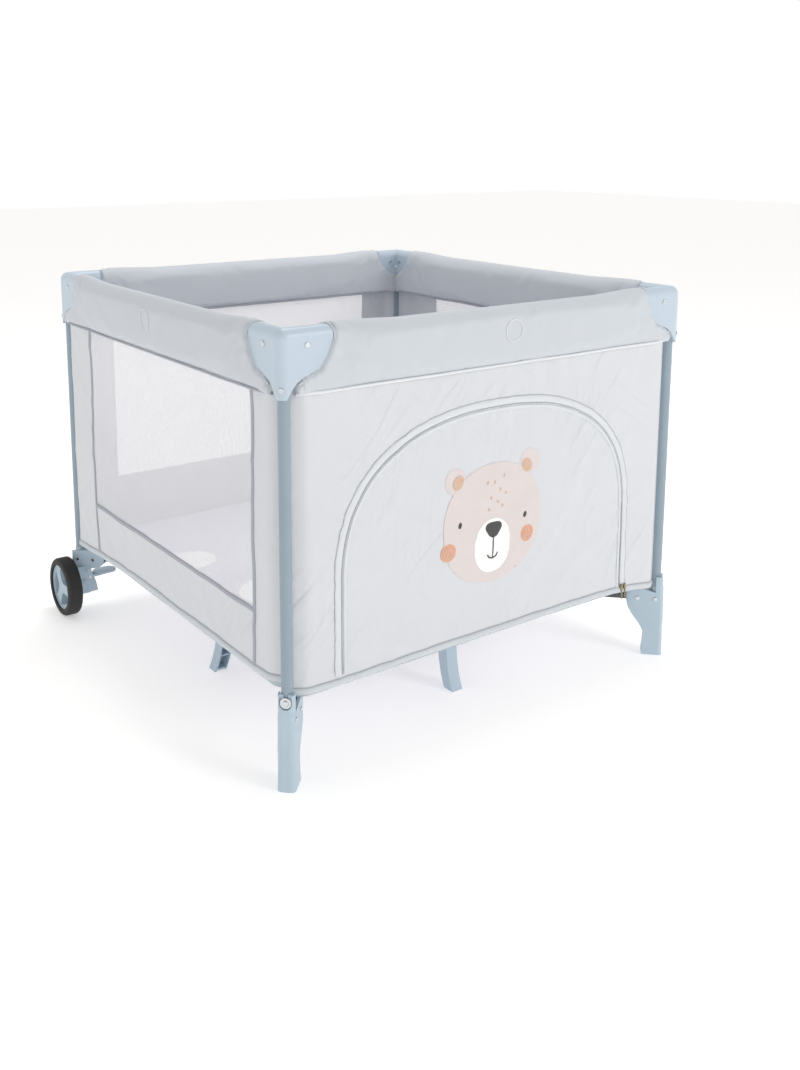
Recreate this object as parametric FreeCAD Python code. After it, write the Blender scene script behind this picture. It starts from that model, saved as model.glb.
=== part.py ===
"""Square folding playpen, in millimetres, +Z up, origin on the floor under the middle of the whole object.

Four posts stand on the corners. Two-piece top rails with a lock in the middle join their tops, and
four tubes run from their feet to a hub under the floor. Four more arms carry the legs in the middle of
each side. The front feet stand on the floor and the back ones on wheels. A fabric cover with three mesh
sides, a zipped doorway and a padded rim hangs on the frame, and a mattress lies on its floor.

Most pieces are made once at the front left corner and mirrored to the other three.
"""
import FreeCAD, Part
import math
import os

V = FreeCAD.Vector

# ---- driving dimensions ----------------------------------------------------------------------------
total_width = 1000.0        # over the outer faces of the wheels
total_depth = 970.0         # from the front of the rim to the back of the wheels
total_height = 770.0
half_x = 442.0              # middle of the frame to a post axis, along the front
half_y = 448.0              # the same along the side

post_radius = 9.0
post_wall = 1.5
tube_radius = 8.0           # top rails, base tubes and arms
tube_wall = 1.2
tube_overhang = 8.0         # tube beyond each pivot
pin_radius = 3.0
running_clearance = 0.05
rivet_rise = 1.8            # a rivet's head above its surface

cap_top = 766.0
cap_radius = 16.0           # corner cap, half its width and the round of its top
cap_wall = 3.0
cap_outer_reach = 82.0      # along the rail, from the post axis
cap_inner_reach = 68.0
cap_tip_z = 655.0
cap_collar_top = 700.0
rail_z = 738.0
rail_pivot = 34.0           # from the post axis

foot_top = 139.0
base_z = 121.0              # height of the base tubes and arms
base_pivot = 36.0           # from the post axis, along the diagonal
slot_half_width = 9.2
foot_half_width = 14.0      # of a front foot at its top
foot_flare = 2.5            # how much further out its sides are at the floor
foot_tab_top = 168.0        # of the tab that stands outside the post, round the large screw
foot_screw_z = 154.0
washer_radius = 9.8
sleeve_space = 11.0         # radius kept free around a post for the fabric sleeve

hub_radius = 80.0
hub_pivot = 60.0
hub_bottom, hub_top = 104.0, 156.0

leg_pivot = 314.0           # from the middle, along X or Y
leg_foot_reach = 336.0
leg_width = 25.0
leg_depth = 26.0
leg_wall = 2.8

wheel_radius = 64.5
tyre_inner_radius = 50.0
wheel_width = 32.0
wheel_blind = 8.0           # the axle stops this far behind the wheel's face
axle_radius = 4.0
back_foot_bottom = 40.0
pedal_pivot = 12.0          # from the post axis
pedal_z = 76.0

wall_outer = 13.5           # outer face of a side panel, outboard of the post axes
wall_thickness = 2.0
wall_bottom, wall_top = 164.0, 662.0
wall_end_gap = 14.0         # from a post axis to the end of a panel
window_bottom = 284.0
# From the post axes to a window's left and right, seen from outside.
window_margins = {"right": (80.0, 145.0), "back": (100.0, 100.0), "left": (145.0, 80.0)}
window_recess = 1.0

door_middle = -14.0         # from the middle of the front, along X
door_half_width = 330.0
door_bottom = 176.0
door_spring = 335.0         # where the straight sides end and the arch starts
door_top = 587.0
door_gap = 1.2
arch_power = 2.4

rim_bottom = 664.0
rim_half_width = 22.0
rim_cavity_half = 13.5
rim_cavity_top = 755.0
rim_top = 770.0
rim_start = 88.0            # from the post axis

floor_z = 161.0
floor_thickness = 2.0
mattress_thickness = 16.0
floor_gap = 14.0            # from the post axes to the edge of the floor

# ---- worked out ------------------------------------------------------------------------------------
diagonal = math.hypot(half_x, half_y)
diagonal_angle = math.degrees(math.atan2(half_y, half_x))
base_length = diagonal - base_pivot - hub_pivot     # between the pivots of a base tube
rail_length_x = base_length * half_x / diagonal     # so that rails and base tubes turn by the same angle
rail_length_y = base_length * half_y / diagonal
lock_half_x = half_x - rail_pivot - rail_length_x   # middle of a lock to its pivots
lock_half_y = half_y - rail_pivot - rail_length_y
hub_angles = [90 * i for i in range(4)] + [s * diagonal_angle + t for t in (0, 180) for s in (-1, 1)]
wheel_face = half_x - total_width / 2               # faces of a wheel, from the post axis
wheel_back = wheel_face + wheel_width
front_reach = half_y + rim_half_width               # the whole object, from the middle of the frame
back_reach = total_depth - front_reach
frame_shift_y = (front_reach - back_reach) / 2      # of the frame, to centre the whole object on the origin
wheel_forward = half_y + wheel_radius - back_reach  # the axle is this far in front of the post axis

O, X, Y, Z = V(0, 0, 0), V(1, 0, 0), V(0, 1, 0), V(0, 0, 1)
CORNERS = {"front_left": (False, False), "front_right": (True, False),
           "back_left": (False, True), "back_right": (True, True)}
nodes = {}


# ---- helpers ---------------------------------------------------------------------------------------
def box(x0, x1, y0, y1, z0, z1):
    return Part.makeBox(x1 - x0, y1 - y0, z1 - z0, V(x0, y0, z0))


def rod(radius, start, end):
    return Part.makeCylinder(radius, (end - start).Length, start, end - start)


def prism(points, direction):
    """A polygon swept along a direction."""
    return Part.Face(Part.makePolygon(points + points[:1])).extrude(direction)


def curve(points):
    spline = Part.BSplineCurve()
    spline.interpolate(points)
    return spline.toShape()


def outline(*pieces):
    """A closed face from runs of points; a run given as a tuple is smooth, a list is straight."""
    edges, ends = [], []
    for run in pieces:
        if isinstance(run, tuple):
            edges.append(curve(list(run)))
        else:
            edges += [Part.makeLine(a, b) for a, b in zip(run, run[1:])]
        ends.append((run[0], run[-1]))
    for (_, end), (start, _) in zip(ends, ends[1:] + ends[:1]):
        if (end - start).Length > 1e-6:
            edges.append(Part.makeLine(end, start))
    return Part.Face(Part.Wire(Part.__sortEdges__(edges)))


def rounded_plan(x0, x1, y0, y1, radius, z0, z1):
    """An upright block with round corners."""
    block = box(x0, x1, y0, y1, z0, z1)
    upright = [e for e in block.Edges if abs(e.tangentAt(e.FirstParameter).z) > 0.99]
    return block.makeFillet(radius, upright)


def domed_head(point, out, radius, height, rounding):
    head = Part.makeCylinder(radius, height, point, out)
    rim = [e for e in head.Edges if len(e.Vertexes) == 1 and (e.Curve.Center - point).Length > height / 2]
    return head.makeFillet(rounding, rim)


def rivet(start, end, head_radius=5.0):
    """A pin with a low domed head outside each end."""
    along = (end - start).normalize()
    heads = [domed_head(start, -along, head_radius, rivet_rise, 1.25),
             domed_head(end, along, head_radius, rivet_rise, 1.25)]
    return rod(pin_radius, start, end).fuse(heads)


def hollow_tube(radius, wall, start, end):
    return rod(radius, start, end).cut(rod(radius - wall, start, end))


def mirrored(shape, right, back):
    if right:
        shape = shape.mirror(O, X)
    if back:
        shape = shape.mirror(O, Y)
    return shape


def swap_sides(shape):
    """Mirrors a shape between the two rails, in corner coordinates."""
    return shape.mirror(O, V(1, -1, 0).normalize())


def turned(shape, angle):
    """Turned about the Z axis, in degrees."""
    return shape.rotated(O, Z, angle)


def at_corner(shape):
    """To the front left from corner coordinates: the post axis at the origin, the rails along +X and +Y."""
    return shape.translated(V(-half_x, -half_y, 0))


def on_diagonal(shape):
    """To the front left from diagonal coordinates: as a corner's, with +X to the middle of the playpen."""
    return at_corner(turned(shape, diagonal_angle))


def keep(name, shape):
    """Stores a node in the object's own coordinates."""
    nodes[name] = shape.translated(V(0, frame_shift_y, 0)).removeSplitter()


def every_corner(name, shape, corners=CORNERS):
    for corner in corners:
        keep(name + "_" + corner, mirrored(shape, *CORNERS[corner]))


# ---- pins and screws of a corner, in the coordinates of the piece that they go through -------------
def foot_pin(u, half_width):
    return V(u, -half_width, base_z), V(u, half_width, base_z)


def rail_pin():
    return V(rail_pivot, -cap_radius, rail_z), V(rail_pivot, cap_radius, rail_z)


def holes_for(pins):
    """Cutters for pins given as (start, end)."""
    cutters = []
    for start, end in pins:
        along = (end - start).normalize() * 5
        cutters.append(rod(pin_radius + running_clearance, start - along, end + along))
    return cutters


tip_screw = V(-cap_radius, 0, cap_tip_z + 16), V(-post_radius + 4, 0, cap_tip_z + 16)
foot_screw_shank = V(-sleeve_space - 0.4, 0, foot_screw_z), V(-post_radius + 4, 0, foot_screw_z)
front_pin_half = foot_half_width + 0.6
back_pin_half = 16.0
inner_screw_face = V(cap_radius * math.sqrt(2) - 1, 0, rail_z - 14)
inner_screw = V(post_radius + 3, 0, rail_z - 14), inner_screw_face


# ---- posts -----------------------------------------------------------------------------------------
def post(bottom, pins):
    """In diagonal coordinates."""
    return hollow_tube(post_radius, post_wall, V(0, 0, bottom), V(0, 0, rail_z + 8)).cut(holes_for(pins))


# ---- corner caps -----------------------------------------------------------------------------------
def saddle(radius, reach, bottom):
    """The space of two round-topped bars that meet over a post."""
    ridge = cap_top - cap_radius
    bar = rod(radius, V(0, 0, ridge), V(reach, 0, ridge)).fuse(box(0, reach, -radius, radius, bottom, ridge))
    corner = rod(radius, V(0, 0, bottom), V(0, 0, ridge)).fuse(Part.makeSphere(radius, V(0, 0, ridge)))
    return bar.fuse([swap_sides(bar), corner])


def cap_trims():
    """What is cut off one arm of a cap: everything under its curved skirts, and the slanted end."""
    far, low, high = 130.0, 560.0, 800.0

    def under(skirt, y, depth):
        """From a curved lower edge, given as (x, z), down."""
        smooth = [V(x, y, z) for x, z in skirt]
        below = [V(skirt[-1][0], y, low), V(far, y, low), V(far, y, high), V(skirt[0][0], y, high)]
        return outline(tuple(smooth), below).extrude(V(0, depth, 0))
    outer_skirt = under([(cap_outer_reach, 746), (71, 720), (55, 697), (34, 690), (13, 678), (3, 665),
                         (-4, cap_tip_z - 1)], -40, 44)
    inner_skirt = under([(cap_inner_reach, 746), (56, 727), (41, 713), (24, 706), (4, 704)], 4, 40)
    end = prism([V(cap_outer_reach, -cap_radius - 1, low), V(cap_inner_reach, cap_radius + 1, low),
                 V(far, cap_radius + 1, low), V(far, -cap_radius - 1, low)], V(0, 0, high - low))
    return [outer_skirt, inner_skirt, end]


def corner_cap():
    shell = saddle(cap_radius, cap_outer_reach, cap_tip_z)
    cavity = saddle(cap_radius - cap_wall, cap_outer_reach + 20, cap_collar_top)
    inside = cap_radius - cap_wall
    arm_space = box(post_radius + 4, 200, -inside, inside, 600, cap_collar_top + 1)
    post_space = rod(post_radius + 0.15, V(0, 0, 600), V(0, 0, cap_collar_top + 1))
    spot_face = rod(4.5 + running_clearance, inner_screw_face, inner_screw_face + X * 30)
    screws = [turned(c, diagonal_angle) for c in holes_for([tip_screw, inner_screw]) + [spot_face]]
    one_arm = [arm_space] + cap_trims() + holes_for([rail_pin()])
    for cutter in [cavity, post_space] + one_arm + [swap_sides(c) for c in one_arm] + screws:
        shell = shell.cut(cutter)
    return shell


# ---- feet, in diagonal coordinates -----------------------------------------------------------------
def tube_slot():
    """Where the base tube turns, open above and towards the middle."""
    return box(base_pivot - 14, 90, -slot_half_width, slot_half_width, base_z - 16, foot_top + 20)


def flared_plan(low_plan, high_plan, radius, z0, z1):
    """An upright block with round corners, from one plan (x0, x1, y0, y1) at z0 to another at z1."""
    ends = []
    for plan, z in ((low_plan, z0), (high_plan, z1)):
        slab = rounded_plan(*plan, radius, z, z + 1)
        ends.append(min(slab.Faces, key=lambda face: face.CenterOfMass.z).OuterWire)
    return Part.makeLoft(ends, True, True)


def front_foot():
    """A flared foot with a housing for the base tube, and a forked tab outside the post."""
    half, wide = foot_half_width, foot_half_width + foot_flare
    crown = foot_top - 4
    side = outline([V(24, 0, 0), V(21, 0, 40)],
                   (V(21, 0, 40), V(28, 0, 60), V(42, 0, 80), V(56, 0, 104)),
                   [V(59, 0, 118), V(59, 0, crown)],
                   (V(59, 0, crown), V(52, 0, crown + 6), V(30, 0, crown + 7), V(-20, 0, foot_top)),
                   [V(-20, 0, 0)])
    body = side.extrude(V(0, 80, 0)).translated(V(0, -40, 0))
    body = body.common(flared_plan((-18, 62, -wide, wide), (-16, 59, -half, half), 9, 0, foot_top + 10))
    upper = rod(70, V(-18, -40, foot_top), V(-18, 40, foot_top))
    slim = flared_plan((-17.2, 62, 0.8 - wide, wide - 0.8), (-15.2, 59, 0.8 - half, half - 0.8), 8.4, 0,
                       foot_top + 10)
    body = body.common(upper.fuse(slim))
    tab = rounded_plan(-16, 30, -half, half, 9, foot_top - 12, foot_tab_top)
    tab = tab.common(box(-20, 0, -40, 40, 0, 300)).cut(rod(sleeve_space, V(0, 0, foot_top), V(0, 0, 300)))
    notch_back, notch_half = -sleeve_space + 0.6, washer_radius + 0.8
    notch = box(-40, notch_back, -notch_half, notch_half, foot_screw_z, 300)
    notch = notch.fuse(rod(notch_half, V(-40, 0, foot_screw_z), V(notch_back, 0, foot_screw_z)))
    socket = rod(post_radius + 0.15, V(0, 0, 62), V(0, 0, foot_top + 40))
    pins = holes_for([foot_pin(u, front_pin_half) for u in (0, base_pivot)])
    return body.fuse(tab).cut([notch, socket, tube_slot()] + pins)


def back_foot():
    """In corner coordinates, with the wheel on the -X side."""
    half_width = back_pin_half
    side = outline([V(-17, 0, 92), V(-17, 0, foot_top)],
                   (V(-17, 0, foot_top), V(20, 0, foot_top + 3), V(46, 0, foot_top - 1), V(59, 0, base_z),
                    V(48, 0, 103), V(24, 0, 98), V(22, 0, 92)))
    housing = side.extrude(V(0, 2 * half_width, 0)).translated(V(0, -half_width, 0))
    housing = housing.common(rounded_plan(-17, 60, -half_width, half_width, 9, 80, foot_top + 10))
    housing = turned(housing, diagonal_angle)
    neck = rounded_plan(-21, 14, -15, 21, 6, back_foot_bottom, 104)
    boss = about_axle(13, wheel_back + 1, 0)
    low = back_foot_bottom
    ramp = prism([V(10, -8, low), V(30, -8, low), V(26, -8, 62), V(14, -8, 96), V(10, -8, 96)], V(0, 26, 0))
    body = housing.fuse([neck, boss, ramp])
    pockets = [box(16, 40, y, y + 6, low + 5, 60) for y in (-5, 9)]
    pedal_space = box(4, 40, -3, 13, 64, 88)
    socket = rod(post_radius + 0.15, V(0, 0, 98), V(0, 0, foot_top + 20))
    axle_hole = about_axle(axle_radius + running_clearance, -60, 3)
    pedal_pin_hole, = holes_for([(V(pedal_pivot, -15, pedal_z), V(pedal_pivot, 35, pedal_z))])
    notch = box(-40, -post_radius - 0.3, -9.5, 9.5, base_z + 4, foot_top + 20)
    slots = holes_for([foot_pin(u, half_width) for u in (0, base_pivot)]) + [tube_slot(), notch]
    return body.cut(pockets + [pedal_space, socket, axle_hole, pedal_pin_hole]
                    + [turned(slot, diagonal_angle) for slot in slots])


# ---- fasteners -------------------------------------------------------------------------------------
def cap_rivets():
    """The rail pivots, and the screws that hold the cap to the post."""
    pin = rivet(*rail_pin())
    tip = rod(pin_radius, *tip_screw).fuse(domed_head(tip_screw[0], -X, 4.5, 2.0, 1.3))
    inside = rod(pin_radius, *inner_screw).fuse(domed_head(inner_screw_face, X, 4.5, 2.0, 1.3))
    return [pin, swap_sides(pin), turned(tip, diagonal_angle), turned(inside, diagonal_angle)]


def foot_rivets(half_width):
    return [rivet(*foot_pin(u, half_width), head_radius=4.5) for u in (0, base_pivot)]


def foot_screw():
    """The large washer and screw on the outside of a front foot."""
    face = foot_screw_shank[0]
    washer = domed_head(face, -X, washer_radius, 1.8, 0.8)
    head = domed_head(face - X * 1.8, -X, 5.2, 2.4, 1.6)
    return rod(pin_radius, *foot_screw_shank).fuse([washer, head])


def axle_and_pedal_pin():
    """A back foot's two hidden pins."""
    axle = about_axle(axle_radius, wheel_face + wheel_blind, 2)
    return [axle, rod(pin_radius, V(pedal_pivot, -14, pedal_z), V(pedal_pivot, 20, pedal_z))]


# ---- wheels and brake pedals, in corner coordinates ------------------------------------------------
def about_axle(radius, x0, x1):
    return rod(radius, V(x0, wheel_forward, wheel_radius), V(x1, wheel_forward, wheel_radius))


def tyre():
    ring = about_axle(wheel_radius, wheel_face, wheel_back)
    shoulders = [e for e in ring.Edges if len(e.Vertexes) == 1]
    return ring.makeFillet(7, shoulders).cut(about_axle(tyre_inner_radius, wheel_face - 5, wheel_back + 5))


def wheel_hub():
    rim = about_axle(tyre_inner_radius - 0.2, wheel_face + 4, wheel_back - 3)
    rim = rim.cut(about_axle(tyre_inner_radius - 6, wheel_face, wheel_back + 5))
    disc = about_axle(tyre_inner_radius - 5, wheel_face + 5, wheel_face + 14)
    near, far = wheel_face - 5, wheel_face + 30
    window = about_axle(tyre_inner_radius - 9, wheel_face, wheel_face + 20).cut(about_axle(15, near, far))
    for turn in range(3):
        spoke = box(near, far, wheel_forward - 11, wheel_forward + 11, wheel_radius, 200)
        window = window.cut(spoke.rotated(V(0, wheel_forward, wheel_radius), X, 30 + 120 * turn))
    along = [e for e in window.Edges if abs(e.tangentAt(e.FirstParameter).x) > 0.99]
    disc = disc.cut(window.makeFillet(5, along))
    middle = about_axle(12, wheel_face + 5, wheel_back - 1)
    bore = about_axle(axle_radius + running_clearance, wheel_face + wheel_blind - 0.5, wheel_back + 5)
    return rim.fuse([disc, middle]).cut(bore)


def brake_pedal():
    """An oval plate on a lever; its pivot is inside the foot."""
    top = pedal_z + 5
    ends = [rod(17, V(x, 5, pedal_z), V(x, 5, top)) for x in (41, 61)]
    plate = box(41, 61, -12, 22, pedal_z, top).fuse(ends).removeSplitter()
    plate = plate.makeFillet(2, [e for e in plate.Edges if abs(e.CenterOfMass.z - top) < 0.01])
    lever = box(pedal_pivot, 44, -2, 12, pedal_z - 5, pedal_z + 1)
    boss = rod(7, V(pedal_pivot, -2, pedal_z), V(pedal_pivot, 12, pedal_z))
    hole = rod(pin_radius + running_clearance, V(pedal_pivot, -20, pedal_z), V(pedal_pivot, 40, pedal_z))
    return plate.fuse([lever, boss]).cut(hole)


# ---- rails, base tubes, hub, arms and legs, along +X from the middle or from a post axis -----------
def bar_between(start_x, end_x, z):
    """A tube with a cross hole at each pivot."""
    ends = V(start_x - tube_overhang, 0, z), V(end_x + tube_overhang, 0, z)
    holes = holes_for([(V(x, -tube_radius, z), V(x, tube_radius, z)) for x in (start_x, end_x)])
    return hollow_tube(tube_radius, tube_wall, *ends).cut(holes)


def rail_lock(half):
    """The middle of a rail: an upward channel with a pin for each half rail and a guide for its button."""
    inner, outer, length = tube_radius + 0.6, tube_radius + 2.2, half + 11
    low, high = rail_z - 17, rail_z + 12
    channel = box(-length, length, -outer, outer, low, high)
    channel = channel.cut(box(-99, 99, -inner, inner, low + 2.8, high + 1))
    block = box(-12, 12, -outer, outer, low, high)
    pins = [rod(pin_radius, V(x, -outer, rail_z), V(x, outer, rail_z)) for x in (-half, half)]
    guide = box(-8.5, 8.5, -7.5, 7.5, low - 3, rail_z - 4.5)
    return channel.fuse([block] + pins).cut(guide)


def lock_button():
    return rounded_plan(-8, 8, -7, 7, 3, rail_z - 21, rail_z - 9)


def centre_hub():
    body = rod(hub_radius, V(0, 0, hub_bottom), V(0, 0, hub_top))
    top_rim = [e for e in body.Edges if len(e.Vertexes) == 1 and e.CenterOfMass.z > hub_top - 1]
    body = body.makeFillet(8, top_rim)
    slot = box(hub_pivot - 14, 200, -slot_half_width, slot_half_width, 0, base_z + 16)
    grip = slot_half_width + 4
    pin = rod(pin_radius, V(hub_pivot, -grip, base_z), V(hub_pivot, grip, base_z))
    for angle in hub_angles:
        body = body.cut(turned(slot, angle))
    return body.fuse([turned(pin, angle) for angle in hub_angles])


def support_leg():
    """A curved channel, open on one side, that leans out to the floor."""
    side = leg_width / 2

    def band(inset, bottom, y):
        """The bent strip that is the leg's shape from the side, made smaller by inset."""
        half = leg_depth / 2 - inset
        middle = [(leg_pivot, 137 - inset), (leg_pivot + 1, 96), (leg_pivot + 7, 44),
                  (leg_foot_reach, bottom)]
        return outline(tuple(V(x + half, y, z) for x, z in middle),
                       tuple(V(x - half, y, z) for x, z in middle[::-1]))
    body = band(0, 0, -side).extrude(V(0, leg_width, 0))
    pocket = band(leg_wall, -5, -side + leg_wall).extrude(V(0, leg_width, 0))
    pocket = pocket.common(box(0, 500, -50, 50, -10, 98))
    ribs = [box(0, 500, -side, side - 3, z, z + thick).common(body)
            for z, thick in ((0, 4), (28, 2.5), (62, 2.5))]
    slot = box(leg_pivot - 60, leg_pivot + 11.5, -slot_half_width, slot_half_width, base_z - 13, 200)
    grip = slot_half_width + 1.5
    pin = rod(pin_radius, V(leg_pivot, -grip, base_z), V(leg_pivot, grip, base_z))
    return body.cut(pocket).fuse(ribs).cut(slot).fuse(pin)


# ---- fabric cover ----------------------------------------------------------------------------------
def arch(inset, y):
    """The doorway's outline, made smaller all round by inset."""
    half, top, bottom = door_half_width - inset, door_top - inset, door_bottom + inset
    steps = 24
    points = []
    for i in range(steps + 1):
        turn = math.pi * i / steps
        side = abs(math.cos(turn)) ** (2 / arch_power) * (1 if turn < math.pi / 2 else -1)
        rise = abs(math.sin(turn)) ** (2 / arch_power)
        points.append(V(door_middle + half * side, y, door_spring + (top - door_spring) * rise))
    corners = [V(door_middle - half, y, bottom), V(door_middle + half, y, bottom)]
    return outline(tuple(points), [points[-1]] + corners + [points[0]])


def plain_wall(half_length, distance):
    """A panel along X whose outer face is outboard of the post axes at y = -distance."""
    outer = -distance - wall_outer
    return box(-half_length + wall_end_gap, half_length - wall_end_gap, outer, outer + wall_thickness,
               wall_bottom, wall_top)


def mesh_wall(half_length, distance, margins):
    """A panel whose window is a shallow recess."""
    outer = -distance - wall_outer
    window = box(margins[0] - half_length, half_length - margins[1], outer - 1, outer + window_recess,
                 window_bottom, wall_top - 12)
    return plain_wall(half_length, distance).cut(window)


def front_wall():
    outer = -half_y - wall_outer
    return plain_wall(half_x, half_y).cut(arch(0, outer - 5).extrude(V(0, 20, 0)))


def door_panel():
    return arch(door_gap, -half_y - wall_outer).extrude(V(0, wall_thickness, 0))


def zip_sliders():
    """Two sliders with hanging pulls, at the right end of the door's zip."""
    outer = -half_y - wall_outer
    pieces = []
    for x in (door_middle + door_half_width + 3, door_middle + door_half_width + 12):
        body = box(x - 3.5, x + 3.5, outer - 3, outer, door_bottom - 5, door_bottom + 5)
        pull = box(x - 2.5, x + 2.5, outer - 3, outer - 1.4, door_bottom - 22, door_bottom - 5)
        pieces.append(body.fuse(pull))
    return Part.makeCompound(pieces)


def rim_pad(half_length, distance):
    """A round-topped cover over a rail, open below."""
    reach = half_length - rim_start
    crown = rim_top - rim_half_width
    cover = rod(rim_half_width, V(-reach, 0, crown), V(reach, 0, crown))
    cover = cover.fuse(box(-reach, reach, -rim_half_width, rim_half_width, rim_bottom, crown))
    cavity = box(-reach - 5, reach + 5, -rim_cavity_half, rim_cavity_half, rim_bottom - 5, rim_cavity_top)
    return cover.cut(cavity).translated(V(0, -distance, 0))


# ---- the whole object ------------------------------------------------------------------------------
FRONT = ["front_left", "front_right"]
BACK = ["back_left", "back_right"]


def build():
    front_pins = [foot_pin(0, front_pin_half), tip_screw, foot_screw_shank]
    every_corner("post", on_diagonal(post(62, front_pins)), FRONT)
    every_corner("post", on_diagonal(post(98, [foot_pin(0, back_pin_half), tip_screw])), BACK)
    every_corner("corner_cap", at_corner(corner_cap()))
    every_corner("foot", on_diagonal(front_foot()), FRONT)
    every_corner("foot", at_corner(back_foot()), BACK)

    front_fasteners = [at_corner(s) for s in cap_rivets()]
    front_fasteners += [on_diagonal(s) for s in foot_rivets(front_pin_half) + [foot_screw()]]
    back_fasteners = [at_corner(s) for s in cap_rivets() + axle_and_pedal_pin()]
    back_fasteners += [on_diagonal(s) for s in foot_rivets(back_pin_half)]
    every_corner("fasteners", Part.makeCompound(front_fasteners), FRONT)
    every_corner("fasteners", Part.makeCompound(back_fasteners), BACK)

    every_corner("tyre", at_corner(tyre()), BACK)
    every_corner("wheel_hub", at_corner(wheel_hub()), BACK)
    every_corner("brake_pedal", at_corner(brake_pedal()), BACK)

    every_corner("base_tube", on_diagonal(bar_between(base_pivot, base_pivot + base_length, base_z)))
    keep("centre_hub", centre_hub())
    for angle, side in ((0, "right"), (90, "back"), (180, "left"), (270, "front")):
        keep("support_arm_" + side, turned(bar_between(hub_pivot, leg_pivot, base_z), angle))
        keep("support_leg_" + side, turned(support_leg(), angle))

    along_front = bar_between(rail_pivot, rail_pivot + rail_length_x, rail_z)
    along_side = swap_sides(bar_between(rail_pivot, rail_pivot + rail_length_y, rail_z))
    for corner in CORNERS:
        end, hand = corner.split("_")
        keep("rail_%s_%s_half" % (end, hand), mirrored(at_corner(along_front), *CORNERS[corner]))
        keep("rail_%s_%s_half" % (hand, end), mirrored(at_corner(along_side), *CORNERS[corner]))
    pads = []
    for side, angle in (("front", 0), ("right", 90), ("back", 180), ("left", 270)):
        half, distance, lock_half = half_x, half_y, lock_half_x
        if angle % 180:
            half, distance, lock_half = half_y, half_x, lock_half_y
        to_side = V(0, -distance, 0)
        keep("rail_lock_" + side, turned(rail_lock(lock_half).translated(to_side), angle))
        keep("lock_button_" + side, turned(lock_button().translated(to_side), angle))
        wall = mesh_wall(half, distance, window_margins[side]) if side in window_margins else front_wall()
        keep("wall_" + side, turned(wall, angle))
        pads.append(turned(rim_pad(half, distance), angle))
    keep("rim_pads", Part.makeCompound(pads))
    keep("door_panel", door_panel())
    keep("zip_sliders", zip_sliders())
    x, y, top = half_x - floor_gap, half_y - floor_gap, floor_z + floor_thickness
    keep("floor_panel", box(-x, x, -y, y, floor_z, top))
    keep("mattress", rounded_plan(4 - x, x - 4, 4 - y, y - 4, 12, top, top + mattress_thickness))


build()
os.makedirs("parts", exist_ok=True)
for name, shape in nodes.items():
    shape.exportStep("parts/" + name + ".step")
whole = Part.makeCompound(list(nodes.values())).BoundBox
print(len(nodes), "nodes", whole)
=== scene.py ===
"""Looks of a folding playpen: cover, padded rim, sleeves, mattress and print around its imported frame."""
import bpy
import math
import numpy as np
from mathutils import Matrix, Vector, noise
from mathutils.geometry import delaunay_2d_cdt
from mathutils.bvhtree import BVHTree
from mathutils.kdtree import KDTree


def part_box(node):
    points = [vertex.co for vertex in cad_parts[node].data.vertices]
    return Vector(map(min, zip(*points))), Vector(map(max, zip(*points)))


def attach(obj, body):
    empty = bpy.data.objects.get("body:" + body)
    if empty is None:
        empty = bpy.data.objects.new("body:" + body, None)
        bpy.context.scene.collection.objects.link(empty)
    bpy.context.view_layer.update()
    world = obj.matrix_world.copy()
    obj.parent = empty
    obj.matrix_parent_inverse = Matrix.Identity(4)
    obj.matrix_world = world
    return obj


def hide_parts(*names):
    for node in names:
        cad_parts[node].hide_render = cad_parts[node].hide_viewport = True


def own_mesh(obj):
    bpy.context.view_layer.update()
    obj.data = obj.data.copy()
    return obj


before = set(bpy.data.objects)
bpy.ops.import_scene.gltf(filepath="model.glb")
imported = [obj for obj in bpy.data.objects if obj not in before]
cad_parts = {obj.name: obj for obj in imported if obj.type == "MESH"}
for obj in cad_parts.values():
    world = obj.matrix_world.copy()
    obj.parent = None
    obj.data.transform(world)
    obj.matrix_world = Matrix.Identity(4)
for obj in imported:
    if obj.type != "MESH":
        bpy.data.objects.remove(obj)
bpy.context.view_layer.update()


# ---- places, from the frame --------------------------------------------------------------------------
def middle(node):
    """The middle of a CAD node's box."""
    low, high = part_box(node)
    return (low + high) / 2


near_post, far_post = middle("post_front_left"), middle("post_back_right")
centre_y = (near_post.y + far_post.y) / 2
half_x, half_y = (far_post.x - near_post.x) / 2, (far_post.y - near_post.y) / 2
# each side's turn about Z, half its width between the post axes, and its distance from the middle
SIDES = {"front": (0, half_x, half_y), "right": (90, half_y, half_x),
         "back": (180, half_x, half_y), "left": (270, half_y, half_x)}
CORNERS = (("front_left", -1, -1), ("front_right", 1, -1), ("back_left", -1, 1), ("back_right", 1, 1))
# the body that carries each side's cloth
BODY = {"front": "front_left", "left": "front_left", "right": "front_right", "back": "back_left"}
folded_share = 0.372        # of the distance between two posts, when the frame is folded
cap_reach = 0.082           # from a post's axis to the end of its cap's arm
rim_bottom, rim_top = 0.661, 0.769
rim_half_width = 0.022
wall_top = 0.684            # hidden inside the rim
wall_end_gap = 0.009        # between a post's axis and the end of the cloth
cloth_tucked = -0.003       # where the cloth's ends are, out from the post axes
cloth_out = 0.0155          # how much further out its middle is
window_bottom = 0.284
# from the post axes to the window, at a side's left and right ends
WINDOW_MARGINS = {"right": (0.080, 0.145), "back": (0.100, 0.100), "left": (0.145, 0.080)}
hem_width = 0.011
floor_gap = 0.018           # between the post axes and the floor's edge
floor_bottom, floor_top = 0.1600, 0.1618
mattress_bottom, mattress_top = 0.1635, 0.181
door_low, door_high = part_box("door_panel")
door_gap = 0.0012           # between the door and the wall, under the zip
door_middle = middle("door_panel").x
door_half = (door_high.x - door_low.x) / 2 + door_gap
door_top = door_high.z + door_gap
door_bottom = door_low.z
door_spring = 0.335         # where the arch starts
arch_power = 2.4            # 2 is an ellipse, and more is squarer


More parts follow.
